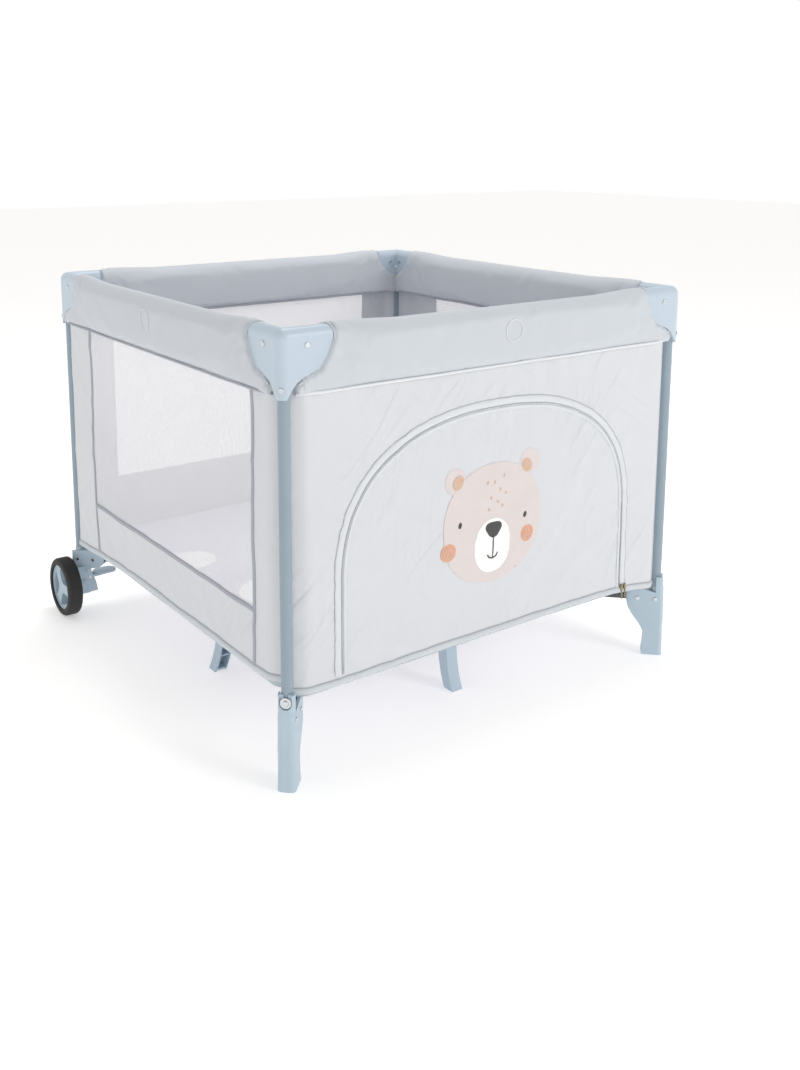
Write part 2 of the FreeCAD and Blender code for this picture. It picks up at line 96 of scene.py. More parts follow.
def place(side, u, out, z):
    """A point on a side: u along it to the right as seen from outside, out beyond the post axes."""
    angle, _, distance = SIDES[side]
    point = Matrix.Rotation(math.radians(angle), 3, "Z") @ Vector((u, -distance - out, z))
    return point + Vector((0, centre_y, 0))


def smooth(value, start, end):
    """0 up to start, 1 from end, and a soft step between them."""
    t = min(1.0, max(0.0, (value - start) / (end - start)))
    return t * t * (3 - 2 * t)


def from_points(value, points):
    """Straight lines through (place, value) pairs."""
    return float(np.interp(value, [p[0] for p in points], [p[1] for p in points]))


# ---- materials ---------------------------------------------------------------------------------------
def colour(digits):
    """A linear colour from the six digits of an sRGB one."""
    channels = [int(digits[i:i + 2], 16) / 255 for i in (0, 2, 4)]
    return tuple(c / 12.92 if c < 0.04045 else ((c + 0.055) / 1.055) ** 2.4 for c in channels) + (1.0,)


def node(material, kind, inputs=None, **settings):
    made = material.node_tree.nodes.new(kind)
    for name, value in settings.items():
        setattr(made, name, value)
    for name, value in (inputs or {}).items():
        if isinstance(value, bpy.types.NodeSocket):
            material.node_tree.links.new(value, made.inputs[name])
        else:
            made.inputs[name].default_value = value
    return made


def soft_step(material, value, low, high):
    """0 to 1 as a value goes from low to high."""
    step = node(material, "ShaderNodeMapRange", {"Value": value, "From Min": low, "From Max": high},
                interpolation_type="SMOOTHSTEP")
    return step.outputs["Result"]


def crease_height(material, turn, stretch):
    """Long creases at an angle on the unfolded cloth, in patches."""
    flat = node(material, "ShaderNodeTexCoord").outputs["UV"]
    turned = node(material, "ShaderNodeMapping",
                  {"Vector": flat, "Rotation": (0, 0, math.radians(turn)), "Scale": stretch},
                  vector_type="TEXTURE")
    folds = node(material, "ShaderNodeTexNoise",
                 {"Vector": turned.outputs["Vector"], "Scale": 1.0, "Detail": 1.0, "Distortion": 0.5})
    patches = node(material, "ShaderNodeTexNoise", {"Vector": flat, "Scale": 5.0 + turn / 40, "Detail": 1.0})
    risen = node(material, "ShaderNodeMath", {0: soft_step(material, folds.outputs["Fac"], 0.46, 0.7),
                                              1: soft_step(material, patches.outputs["Fac"], 0.46, 0.64)},
                 operation="MULTIPLY")
    return risen.outputs["Value"]


def surface(name, digits, roughness, mottling=0.05, mottle_scale=14.0, bumps=(), creases=(), **sockets):
    """A procedural material: a slightly mottled colour, bumps as (scale, height, strength), and creases as
    (turn, stretch, height, strength)."""
    material = bpy.data.materials.new(name)
    material.use_nodes = True
    tree = material.node_tree
    shader = tree.nodes["Principled BSDF"]
    solid = node(material, "ShaderNodeTexCoord").outputs["Object"]
    spots = node(material, "ShaderNodeTexNoise", {"Vector": solid, "Scale": mottle_scale, "Detail": 4.0})
    base = colour(digits)
    dark = tuple(c * (1 - mottling) for c in base[:3]) + (1.0,)
    light = tuple(min(1.0, c * (1 + mottling)) for c in base[:3]) + (1.0,)
    mix = node(material, "ShaderNodeMix", {"Factor": spots.outputs["Fac"]}, data_type="RGBA")
    mix.inputs[6].default_value = dark
    mix.inputs[7].default_value = light
    tree.links.new(mix.outputs[2], shader.inputs["Base Color"])
    shader.inputs["Roughness"].default_value = roughness
    for socket, value in sockets.items():
        shader.inputs[socket.replace("_", " ")].default_value = value
    reliefs = []
    for scale, height, strength in bumps:
        grain = node(material, "ShaderNodeTexNoise", {"Vector": solid, "Scale": scale, "Detail": 3.0})
        reliefs.append((grain.outputs["Fac"], height, strength))
    for turn, stretch, height, strength in creases:
        reliefs.append((crease_height(material, turn, stretch), height, strength))
    normal = None
    for relief, height, strength in reliefs:
        bump = node(material, "ShaderNodeBump", {"Height": relief, "Strength": strength, "Distance": height})
        if normal:
            tree.links.new(normal, bump.inputs["Normal"])
        normal = bump.outputs["Normal"]
    if normal:
        tree.links.new(normal, shader.inputs["Normal"])
    return material


WOVEN = ((900.0, 0.0004, 0.25), (24.0, 0.004, 0.22))
CREASES = ((50, (0.16, 0.03, 1), 0.006, 0.34), (-35, (0.2, 0.035, 1), 0.005, 0.3),
           (84, (0.14, 0.022, 1), 0.004, 0.24))
panel_cloth = surface("panel_cloth", "d4d6da", 0.6, 0.02, bumps=WOVEN, creases=CREASES, Sheen_Weight=0.1)
rim_cloth = surface("rim_cloth", "c8cdd3", 0.62, 0.02, bumps=WOVEN, Sheen_Weight=0.1)
sleeve_cloth = surface("sleeve_cloth", "94a4af", 0.7, 0.05, bumps=WOVEN, Sheen_Weight=0.1)
mattress_cloth = surface("mattress_cloth", "c7c5d6", 0.85, 0.04, bumps=WOVEN)
floor_cloth = surface("floor_cloth", "8d9398", 0.85, 0.06, bumps=WOVEN)
edge_cloth = surface("edge_cloth", "b7bfc5", 0.75, 0.05, bumps=WOVEN)
hem_cloth = surface("hem_cloth", "cad0d5", 0.75, 0.05, bumps=WOVEN)
binding_cloth = surface("binding_cloth", "a9acb6", 0.8, 0.08, 60.0, bumps=WOVEN)
thread = surface("thread", "a9aeb4", 0.8, 0.1, 200.0, bumps=((500.0, 0.0004, 0.4),))
pale_thread = surface("pale_thread", "bcc0c4", 0.8, 0.1, 200.0, bumps=((500.0, 0.0004, 0.4),))
white_piping = surface("white_piping", "e2e5e8", 0.6, 0.04, 80.0, bumps=((300.0, 0.0004, 0.3),))
zip_tape = surface("zip_tape", "d8dbde", 0.62, 0.04, 40.0, bumps=((600.0, 0.0004, 0.4),))
zip_teeth = surface("zip_teeth", "adb2b7", 0.5, 0.15, 300.0, bumps=((420.0, 0.001, 0.8),))
cap_plastic = surface("cap_plastic", "bfcdd9", 0.34, 0.03, 10.0, bumps=((160.0, 0.0003, 0.06),))
foot_plastic = surface("foot_plastic", "b4c6d2", 0.42, 0.04, 12.0, bumps=((220.0, 0.0003, 0.1),))
wheel_plastic = surface("wheel_plastic", "a7bac6", 0.45, 0.05, 20.0, bumps=((240.0, 0.0003, 0.1),))
dark_plastic = surface("dark_plastic", "3b3f44", 0.5, 0.08, 20.0, bumps=((240.0, 0.0003, 0.12),))
dark_paint = surface("dark_paint", "50565c", 0.4, 0.06, 20.0, bumps=((300.0, 0.0002, 0.1),), Metallic=0.3)
post_paint = surface("post_paint", "b9c7d0", 0.36, 0.03, 12.0, bumps=((300.0, 0.0002, 0.08),), Metallic=0.15)
bright_steel = surface("bright_steel", "d2d6da", 0.2, 0.06, 60.0, bumps=((200.0, 0.0002, 0.1),), Metallic=1.0)
brass = surface("brass", "a09278", 0.32, 0.1, 90.0, bumps=((200.0, 0.0002, 0.1),), Metallic=1.0)
tyre_rubber = surface("tyre_rubber", "2a2827", 0.72, 0.2, 30.0, bumps=((140.0, 0.0008, 0.3),))
INK = ((900.0, 0.0003, 0.2),)
bear_fur = surface("bear_fur", "dad1cf", 0.75, 0.03, 30.0, bumps=INK)
bear_ear = surface("bear_ear", "d3b49e", 0.75, 0.12, 160.0, bumps=INK)
bear_muzzle = surface("bear_muzzle", "f7f6f6", 0.75, 0.01, 30.0, bumps=INK)
bear_dark = surface("bear_dark", "4a4a49", 0.7, 0.1, 90.0, bumps=INK)
bear_cheek = surface("bear_cheek", "dca588", 0.75, 0.16, 170.0, bumps=INK)
print_pale = surface("print_pale", "faf8f6", 0.85, 0.02, 30.0, bumps=INK)
print_pink = surface("print_pink", "ecc9c4", 0.85, 0.05, 60.0, bumps=INK)


def net(name, digits, pitch, closed):
    """A knitted net: strands round cells at a pitch, with a thin film in the cells."""
    material = surface(name, digits, 0.8, 0.02)
    flat = node(material, "ShaderNodeTexCoord").outputs["UV"]
    cells = node(material, "ShaderNodeTexVoronoi", {"Vector": flat, "Scale": 1 / pitch, "Randomness": 0.25},
                 feature="DISTANCE_TO_EDGE", voronoi_dimensions="2D")
    strands = node(material, "ShaderNodeMapRange", {"Value": cells.outputs["Distance"], "From Min": closed,
                                                    "From Max": closed + 0.06, "To Min": 0.95, "To Max": 0.2})
    material.node_tree.links.new(strands.outputs["Result"],
                                 material.node_tree.nodes["Principled BSDF"].inputs["Alpha"])
    return material


window_net = net("window_net", "f6f6fa", 0.0026, 0.15)

CAD_LOOKS = [("post_", post_paint), ("base_tube", dark_paint), ("support_arm", dark_paint),
             ("support_leg", foot_plastic), ("corner_cap", cap_plastic), ("foot_", foot_plastic),
             ("fasteners", bright_steel), ("tyre", tyre_rubber), ("wheel_hub", wheel_plastic),
             ("brake_pedal", foot_plastic), ("centre_hub", dark_plastic), ("rail_lock", dark_plastic),
             ("rail_", dark_paint), ("lock_button", foot_plastic)]
for name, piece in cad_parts.items():
    look = next((m for start, m in CAD_LOOKS if name.startswith(start)), None)
    if look:
        piece.data.materials.clear()
        piece.data.materials.append(look)


# ---- making meshes -----------------------------------------------------------------------------------
def new_piece(name, points, faces, material, uvs):
    """A smooth mesh object with a UV for each point."""
    mesh = bpy.data.meshes.new(name)
    mesh.from_pydata([tuple(p) for p in points], [], faces)
    mesh.materials.append(material)
    mesh.shade_smooth()
    layer = mesh.uv_layers.new(name="UVMap")
    for loop in mesh.loops:
        layer.data[loop.index].uv = uvs[loop.vertex_index]
    piece = bpy.data.objects.new(name, mesh)
    bpy.context.scene.collection.objects.link(piece)
    return piece


def divided(a, b, step):
    """Points from a to just before b, about step apart."""
    count = max(1, round(math.dist(a, b) / step))
    return [(a[0] + (b[0] - a[0]) * i / count, a[1] + (b[1] - a[1]) * i / count) for i in range(count)]


def strips(count, n, closed=False):
    """The faces between count rows of n points; closed joins each row's last point to its first."""
    return [(i * n + j, i * n + (j + 1) % n, (i + 1) * n + (j + 1) % n, (i + 1) * n + j)
            for i in range(count - 1) for j in range(n if closed else n - 1)]


def tube_faces(count, n):
    """The faces of a tube of count rings of n points, closed at both ends."""
    return strips(count, n, True) + [tuple(range(n))[::-1], tuple((count - 1) * n + j for j in range(n))]


def resampled(loop, step):
    """The same closed outline with points about step apart."""
    return [p for a, b in zip(loop, loop[1:] + loop[:1]) for p in divided(a, b, step)]


def inside(loops, points):
    """Which points are inside an odd number of the outlines."""
    odd = np.zeros(len(points), bool)
    for loop in loops:
        for (x0, y0), (x1, y1) in zip(loop, loop[1:] + loop[:1]):
            crosses = (y0 > points[:, 1]) != (y1 > points[:, 1])
            if y0 != y1:
                odd ^= crosses & (points[:, 0] < x0 + (points[:, 1] - y0) * (x1 - x0) / (y1 - y0))
    return odd


def filled(loops, step):
    """Triangles over the space between closed outlines: (points, faces, area)."""
    loops = [resampled(loop, step) for loop in loops]
    points, edges = [], []
    for loop in loops:
        start = len(points)
        points += loop
        edges += [(start + i, start + (i + 1) % len(loop)) for i in range(len(loop))]
    tree = KDTree(len(points))
    for i, p in enumerate(points):
        tree.insert((*p, 0), i)
    tree.balance()
    low, high = np.min(points, 0), np.max(points, 0)
    rows = np.arange(low[1] + step / 2, high[1], step * 0.87)
    grid = np.array([(x + (step / 2 if i % 2 else 0), z) for i, z in enumerate(rows)
                     for x in np.arange(low[0] + step / 2, high[0], step)]).reshape(-1, 2)
    kept = [tuple(p) for p in grid[inside(loops, grid)] if tree.find((*p, 0))[2] > step * 0.55]
    verts, _, faces, *_ = delaunay_2d_cdt([Vector(p) for p in points + kept], edges, [], 0, 1e-7)
    flat = np.array([tuple(v) for v in verts])
    middles = np.array([flat[list(f)].mean(0) for f in faces])
    faces = [f for f, good in zip(faces, inside(loops, middles)) if good]
    corners = [flat[list(f)] for f in faces]
    area = sum(abs(np.cross(c[1] - c[0], c[2] - c[0])) / 2 for c in corners)
    return [tuple(p) for p in flat], faces, float(area)


def ellipse(x, z, rx, rz, power=2.0, turn=0.0, count=40):
    """An outline round (x, z), squarer than an ellipse where power is over 2, turned by turn degrees."""
    points = []
    for i in range(count):
        a = math.tau * i / count
        dx = rx * math.copysign(abs(math.cos(a)) ** (2 / power), math.cos(a))
        dz = rz * math.copysign(abs(math.sin(a)) ** (2 / power), math.sin(a))
        c, s = math.cos(math.radians(turn)), math.sin(math.radians(turn))
        points.append((x + dx * c - dz * s, z + dx * s + dz * c))
    return points


def rounded_triangle(x, z, radius, count=36):
    """A soft triangle that points down."""
    turns = [math.tau * i / count for i in range(count)]
    reach = [radius * (1 + 0.12 * math.cos(3 * (t + math.pi / 2))) for t in turns]
    return [(x + r * 1.08 * math.cos(t), z + r * 0.88 * math.sin(t)) for t, r in zip(turns, reach)]


def folds_with(piece, side, body=None, rim=False):
    """Rides on a side's body, with a mesh of its own."""
    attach(piece, body or BODY[side])
    angle, half, _ = SIDES[side]
    along = (0, 1, 0) if angle % 180 else (1, 0, 0)
    anchor, keep = Vector(near_post), folded_share
    if rim:
        anchor += Vector(along) * cap_reach
        keep = (2 * half * folded_share - 2 * cap_reach) / (2 * half - 2 * cap_reach)
    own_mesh(piece)


# ---- the cloth of the four sides ---------------------------------------------------------------------
def hem_height(side, u):
    """The height of a side's lower edge, which hangs lower towards some of the posts."""
    if side == "front":
        return from_points(u, [(-0.44, 0.158), (-0.3, 0.160), (0.1, 0.166), (0.30, 0.166), (0.36, 0.160),
                               (0.44, 0.148)])
    if side == "left":
        return from_points(u, [(-0.45, 0.158), (-0.36, 0.164), (-0.2, 0.176), (0.45, 0.178)])
    return 0.166


def arch(inset=0.0):
    """The doorway's outline from its lower left corner, over the top, to its lower right corner."""
    half, rise, count = door_half - inset, door_top - inset - door_spring, 120
    curve = []
    for i in range(count + 1):
        a = math.pi * (1 - i / count)
        across = math.copysign(abs(math.cos(a)) ** (2 / arch_power), math.cos(a))
        curve.append((door_middle + half * across, door_spring + rise * math.sin(a) ** (2 / arch_power)))
    return [(door_middle - half, door_bottom)] + curve + [(door_middle + half, door_bottom)]


def along_arch():
    """A tree of points on the zip, and each one's distance along it."""
    points, run = [], [0.0]
    outline = arch()
    for a, b in zip(outline, outline[1:]):
        stretch = divided(a, b, 0.004)
        points += stretch
        for _ in stretch:
            run.append(run[-1] + math.dist(a, b) / len(stretch))
    tree = KDTree(len(points))
    for i, p in enumerate(points):
        tree.insert((*p, 0), i)
    tree.balance()
    return tree, run


zip_tree, zip_run = along_arch()


def ridges(u, z, turn, spread, length, seed):
    """Long narrow creases at an angle, each 0 to 1 high."""
    c, s = math.cos(math.radians(turn)), math.sin(math.radians(turn))
    along, across = u * c + z * s, -u * s + z * c
    return max(0.0, 1 - 2.4 * abs(noise.noise(Vector((along / length, across / spread, seed))))) ** 3


def billow(side, u, z):
    """How far the cloth stands out from its flat plane: slack, creases, and puckers at its seams."""
    seed = 10.0 * list(SIDES).index(side) + 3
    half = SIDES[side][1]
    low, high, beyond = z - hem_height(side, u), rim_bottom - z, half - abs(u) - 0.02

    def rough(across, up, layer):
        return noise.noise(Vector((u * across, z * up, seed + layer)))

    slack = 0.003 * math.cos(u / half * math.pi / 2) * math.sin(math.pi * smooth(z, 0.14, 0.70))
    broad = 0.0032 * rough(4.5, 5, 0)
    patch = smooth(rough(3, 4, 20), -0.25, 0.35)
    crease = 0.0022 * ridges(u, z, 52, 0.10, 0.34, seed + 3) * patch
    crease += 0.0020 * ridges(u, z, -38, 0.10, 0.30, seed + 5) * (1 - patch)
    top = 0.0042 * math.exp(-max(0.0, high) / 0.05) * rough(32, 5, 7)
    bottom = 0.0018 * math.exp(-max(0.0, low) / 0.035) * rough(40, 8, 9)
    end = math.exp(-max(0.0, beyond) / 0.035) * 0.0026 * rough(70, 7, 11)
    out = slack + broad + crease + top + bottom + end
    if side == "front":
        _, index, away = zip_tree.find((u, z, 0))
        run = zip_run[index]
        pucker = noise.noise(Vector((run * 34, away * 12, seed + 13)))
        pucker += 0.5 * noise.noise(Vector((run * 80, 0, seed)))
        out += 0.0046 * pucker * math.exp(-max(0.0, away - 0.012) / 0.022) * smooth(away, 0.004, 0.014)
    return out


def cloth_plane(side, u, out):
    """How far out a side's cloth is at u before it billows: drawn in to the sleeves at its two ends."""
    return cloth_tucked + out * smooth(SIDES[side][1] - abs(u), 0.006, 0.036)


def on_side(side, u, z, lift=0.0):
    """A point of a side's cloth."""
    free = smooth(SIDES[side][1] - abs(u), 0.010, 0.045)
    return place(side, u, cloth_plane(side, u, cloth_out) + billow(side, u, z) * free + lift, z)


def cloth(name, side, loops, material, step=0.008, lift=0.0):
    """A piece of cloth on a side, and the area of its outline."""
    flat, faces, area = filled(loops, step)
    piece = new_piece(name, [on_side(side, u, z, lift) for u, z in flat], faces, material, flat)
    return piece, area


def band(name, side, path, width, material, lift=0.0, rise=0.0012, offset=0.0, step=0.008):
    """A tape along a path on a side, arched by rise across its width; offset moves it to the path's left."""
    fine = [p for a, b in zip(path, path[1:]) for p in divided(a, b, step)]
    fine.append(path[-1])
    points, uvs, run = [], [], 0.0
    across = [-1.0, -0.9, -0.5, 0.0, 0.5, 0.9, 1.0]
    for i, p in enumerate(fine):
        a, b = fine[max(0, i - 1)], fine[min(len(fine) - 1, i + 1)]
        t = Vector((b[0] - a[0], b[1] - a[1])).normalized()
        run += math.dist(a, p)
        for s in across:
            shift = offset + s * width / 2
            height = lift + (0 if abs(s) == 1 else min(0.0006, 0.06 * width) + rise * (1 - s * s))
            points.append(on_side(side, p[0] - t.y * shift, p[1] + t.x * shift, height))
            uvs.append((run, s * width / 2))
    return new_piece(name, points, strips(len(fine), len(across)), material, uvs)


def floor_edge(side, reach):
    """The strip by which the cover's floor is sewn to a side, from the hem inwards."""
    points, count, rows = [], 80, 5
    for u in np.linspace(-reach, reach, count):
        face, low = cloth_plane(side, u, cloth_out - 0.001), hem_height(side, u)
        points += [place(side, u, out, z) for out, z in
                   ((face, low + 0.004), (face - 0.001, low - 0.003), (face - 0.006, (low + 0.156) / 2),
                    (face - 0.016, 0.1615), (-0.022, 0.1612))]
    uvs = [(p.x + p.y, p.z) for p in points]
    return new_piece("floor_edge_" + side, points, strips(count, rows), edge_cloth, uvs)


def zip_bands(rows):
    """Tapes and seams along the zip, each as (name, material, inset, width, lift, rise, offset)."""
    return [band(name, "front", arch(inset), width, material, lift, rise, offset)
            for name, material, inset, width, lift, rise, offset in rows]


ZIP_ON_WALL = (("zip_welt", zip_tape, 0, 0.0125, 0.0003, 0.0010, 0.0078),
               ("zip_outer_seam", thread, 0, 0.0010, 0.0005, 0.0003, 0.0146),
               ("zip_outer_stitch", pale_thread, 0, 0.0007, 0.0013, 0.0002, 0.0044),
               ("zip_teeth_line", zip_teeth, 0, 0.0018, 0.0006, 0.0006, 0.0004))
ZIP_ON_DOOR = (("zip_inner_tape", zip_tape, 0.001, 0.0062, 0.0003, 0.0006, -0.0042),
               ("zip_inner_seam", white_piping, 0, 0.0010, 0.0006, 0.0004, -0.0086),
               ("zip_inner_stitch", pale_thread, 0, 0.0007, 0.0011, 0.0002, -0.0032),
               ("zip_inner_stitch_b", pale_thread, 0, 0.0007, 0.0009, 0.0002, -0.0064))
hem_seam_width = 0.0022
binding_width, binding_gap = 0.0085, 0.002
for side, (_, half, _) in SIDES.items():
    reach = half - wall_end_gap
    lower = [(u, hem_height(side, u)) for u in [-reach + 2 * reach * i / 40 for i in range(41)]]
    upper = [(reach, wall_top), (-reach, wall_top)]
    hem = band("hem_" + side, side, [(u, z + hem_width / 2) for u, z in lower], hem_width, hem_cloth,
               0.0006, 0.0016)
    hem_line = band("hem_seam_" + side, side, [(u, z + hem_width + 0.001) for u, z in lower], hem_seam_width,
                    thread, 0.0004, 0.0004)
    extras = [hem, hem_line, floor_edge(side, reach)]
    if side == "front":
        wall, area = cloth("wall_cloth_front", side, [lower + upper, arch()], panel_cloth)
        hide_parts("wall_front")
        extras += zip_bands(ZIP_ON_WALL)
    else:
        left, right = WINDOW_MARGINS[side][0] - half, half - WINDOW_MARGINS[side][1]
        hole = [(left, window_bottom), (right, window_bottom), (right, wall_top), (left, wall_top)]
        border = lower + [(reach, wall_top), (right, wall_top), (right, window_bottom), (left, window_bottom),
                          (left, wall_top), (-reach, wall_top)]
        wall, area = cloth("wall_cloth_" + side, side, [border], panel_cloth)
        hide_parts("wall_" + side)
        netting, net_area = cloth("window_net_" + side, side, [hole], window_net, 0.012, -0.0004)
        folds_with(netting, side)
        for end, u in (("left", left - binding_gap), ("right", right + binding_gap)):
            upright = [(u, hem_height(side, u) + hem_width), (u, wall_top)]
            extras.append(band("binding_%s_%s" % (side, end), side, upright, binding_width, binding_cloth,
                               0.0004))
        extras.append(band("binding_%s_low" % side, side, hole[:2], binding_width, binding_cloth, 0.0006))
    for piece in [wall] + extras:
        folds_with(piece, side)


# ---- the door and its print --------------------------------------------------------------------------
door, door_area = cloth("door_cloth", "front", [arch(door_gap)], panel_cloth)
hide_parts("door_panel")
door_pieces = zip_bands(ZIP_ON_DOOR)
# the printed face's middle, and its parts as (name, outline, material, height above the cloth)
face_x, face_z = -0.0205, 0.3765
FACE = [("bear_ear_left", ellipse(-0.088, 0.090, 0.024, 0.023), bear_fur, 0.0004),
        ("bear_ear_right", ellipse(0.085, 0.101, 0.024, 0.023), bear_fur, 0.0004),
        ("bear_head", ellipse(0, 0, 0.114, 0.110, 2.15, 4, 80), bear_fur, 0.0006),
        ("bear_inner_ear_left", ellipse(-0.082, 0.087, 0.0115, 0.0135, 2, -35), bear_ear, 0.0009),
        ("bear_inner_ear_right", ellipse(0.078, 0.094, 0.0115, 0.0135, 2, 35), bear_ear, 0.0009),
        ("bear_muzzle", ellipse(-0.001, -0.042, 0.041, 0.050, 2.2), bear_muzzle, 0.0009),
        ("bear_nose", rounded_triangle(0, -0.011, 0.0165), bear_dark, 0.0013),
        ("bear_eye_left", ellipse(-0.077, 0.009, 0.0038, 0.0058, 2, -12), bear_dark, 0.0009),
        ("bear_eye_right", ellipse(0.074, 0.002, 0.0038, 0.0058, 2, -12), bear_dark, 0.0009),
        ("bear_cheek_left", ellipse(-0.102, -0.036, 0.0165, 0.0165), bear_cheek, 0.0009),
        ("bear_cheek_right", ellipse(0.081, -0.035, 0.0155, 0.0160), bear_cheek, 0.0009)]
# the middles of the freckles, in millimetres from the face's
FRECKLES = [(-15, 76), (1, 75), (23, 84), (15, 60), (28, 51), (-7, 47), (9, 38), (20, 29), (-11, 26)]
for i, (x, z) in enumerate(FRECKLES):
    freckle = ellipse(x / 1000, z / 1000, 0.0021, 0.0034, 2, -20 + 9 * i, 12)
    FACE.append(("bear_freckle_%d" % i, freckle, bear_ear, 0.0010))
for name, loop, material, lift in FACE:
    loop = [(x + face_x, z + face_z) for x, z in loop]
    piece, _ = cloth(name, "front", [loop], material, 0.005 if len(loop) > 20 else 0.003, lift)
    door_pieces.append(piece)
# its drawn lines as (name, points, width, material)
SMILE = [(-0.013, -0.058), (-0.009, -0.0635), (-0.001, -0.066), (0.007, -0.0635), (0.011, -0.057)]
STROKES = [("bear_mouth", [(0, -0.022), (-0.0005, -0.045), (-0.001, -0.064)], 0.0024, bear_dark),
           ("bear_smile", SMILE, 0.0028, bear_dark)]
for end, x in (("left", -0.102), ("right", 0.081)):
    curl = [(x + 0.0006 * i * math.cos(0.62 * i), -0.0355 + 0.0006 * i * math.sin(0.62 * i))
            for i in range(4, 21)]
    STROKES.append(("bear_curl_" + end, curl, 0.0011, bear_fur))
for name, line, width, material in STROKES:
    line = [(x + face_x, z + face_z) for x, z in line]
    door_pieces.append(band(name, "front", line, width, material, 0.0014, 0.0002, step=0.003))
for piece in [door] + door_pieces:
    folds_with(piece, "front", "door")


def bar(name, side, points, radius, material, sides=10):
    """A round bar through (u, out, z) points on a side."""
    line = [place(side, *p) for p in points]
    rings, uvs, run = [], [], 0.0
    for i, p in enumerate(line):
        a, b = line[max(0, i - 1)], line[min(len(line) - 1, i + 1)]
        t = (b - a).normalized()
        across = t.orthogonal().normalized() if i == 0 else (across - t * across.dot(t)).normalized()
        other = t.cross(across)
        run += (p - a).length
        for k in range(sides):
            w = math.tau * k / sides
            rings.append(p + (across * math.cos(w) + other * math.sin(w)) * radius)
            uvs.append((run, k / sides))
    return new_piece(name, rings, tube_faces(len(line), sides), material, uvs)


# two sliders side by side at the zip's lower right end, each with a hanging pull
pulls = []
for i, gap in enumerate((0.003, 0.012)):
    u = door_middle + door_half + gap
    face = centre_y - half_y - on_side("front", u, door_bottom).y
    body_line = [(u, face + 0.0028, 0.170), (u, face + 0.0036, 0.176), (u, face + 0.0028, 0.182)]
    pull_line = [(u, face + 0.0046, 0.172), (u + 0.001, face + 0.0046, 0.160),
                 (u + 0.0015, face + 0.0042, 0.152)]
    pulls += [bar("zip_slider_%d" % i, "front", body_line, 0.0027, brass),
              bar("zip_pull_%d" % i, "front", pull_line, 0.0014, brass)]
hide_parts("zip_sliders")
for piece in pulls:
    folds_with(piece, "front")


# ---- the padded rim ----------------------------------------------------------------------------------
# the edges of a corner cap's two skirts as (distance from the post, height)
CAP_INNER_EDGE = [(0.004, 0.704), (0.024, 0.706), (0.041, 0.713), (0.056, 0.727), (0.068, 0.746)]
CAP_OUTER_EDGE = [(-0.004, 0.654), (0.003, 0.665), (0.013, 0.678), (0.034, 0.690), (0.055, 0.697),
                  (0.071, 0.720), (0.082, 0.746)]
cap_half_width = 0.016
rim_step, tucked_step = 0.007, 0.003        # between the rim's rings, and between those under the caps


def cap_depth(p, z, inner):
    """How far a point p from the post is inside the outline of a corner cap's arm; below 0 outside it."""
    line = CAP_INNER_EDGE if inner else CAP_OUTER_EDGE
    across = from_points(z, [(h, x) for x, h in line])
    return min(across - p, z - from_points(p, line) if p < line[-1][0] else across - p)


def pad_section(count=48):
    """Closed outline of the rim's section as (out, z), evenly spaced: upright sides and a round top."""
    crown = rim_top - rim_half_width
    lower = [(0.014, rim_bottom), (0.0195, rim_bottom + 0.004), (0.0215, 0.690), (rim_half_width, crown)]
    turns = [math.pi * i / 12 for i in range(1, 12)]
    round_top = [(rim_half_width * math.cos(t), crown + rim_half_width * math.sin(t)) for t in turns]
    closed = [(-0.014, rim_bottom)] + lower + round_top + [(-out, z) for out, z in lower[::-1]]
    lengths = [0.0]
    for a, b in zip(closed, closed[1:]):
        lengths.append(lengths[-1] + math.dist(a, b))
    at = np.linspace(0, lengths[-1], count, endpoint=False)
    return list(zip(np.interp(at, lengths, [p[0] for p in closed]),
                    np.interp(at, lengths, [p[1] for p in closed])))


def simulate(piece, pins, pressure, slack, reach, frames=20):
    """Blows a closed piece up as cloth with pinned points, and keeps each point's move under reach."""
    group = piece.vertex_groups.new(name="pins")
    group.add(pins, 1.0, "REPLACE")
    modifier = piece.modifiers.new("cloth", "CLOTH")
    settings = modifier.settings
    settings.quality = 5
    settings.mass = 0.2
    settings.tension_stiffness = settings.compression_stiffness = 14
    settings.shear_stiffness = 6
    settings.bending_stiffness = 0.15
    settings.use_pressure = True
    settings.uniform_pressure_force = pressure
    settings.shrink_min = -slack
    settings.vertex_group_mass = "pins"
    settings.effector_weights.gravity = 0
    modifier.point_cache.frame_start, modifier.point_cache.frame_end = 1, frames
    for number in range(1, frames + 1):
        bpy.context.scene.frame_set(number)
    shape = piece.evaluated_get(bpy.context.evaluated_depsgraph_get()).to_mesh()
    moved = [v.co.copy() for v in shape.vertices]
    piece.modifiers.remove(modifier)
    for vertex, target in zip(piece.data.vertices, moved):
        step = target - vertex.co
        if step.length > reach:
            step *= reach / step.length
        vertex.co += step
    bpy.context.scene.frame_set(1)
    piece.data.update()


def pad_ring(side, u, section, share=1.0):
    """The rim's section at u, tucked under the caps and gathered beside them."""
    seed = 20.0 + list(SIDES).index(side)
    p = SIDES[side][1] - abs(u)
    ring = []
    for out, z in section:
        depth = cap_depth(p, z, out < 0)
        tucked = smooth(depth, -0.005, 0.001)
        around = Vector(((z - 0.72) * 60 + p * 30, 0.5 * out / rim_half_width, seed))
        gather = 0.0042 * noise.noise(around) * smooth(depth, -0.060, -0.012)
        lift = 0.0020 * noise.noise(Vector((u * 12, z * 20, seed + out * 20))) + gather * (1 - tucked)
        wide = share * (1 - 0.02 * smooth(depth, -0.05, -0.01) - 0.45 * tucked)
        drop = 0.31 * max(0.0, z - 0.738) * tucked + 0.03 * (1 - share)
        ring.append(place(side, u, out * wide + math.copysign(lift, out), z - drop))
    return ring


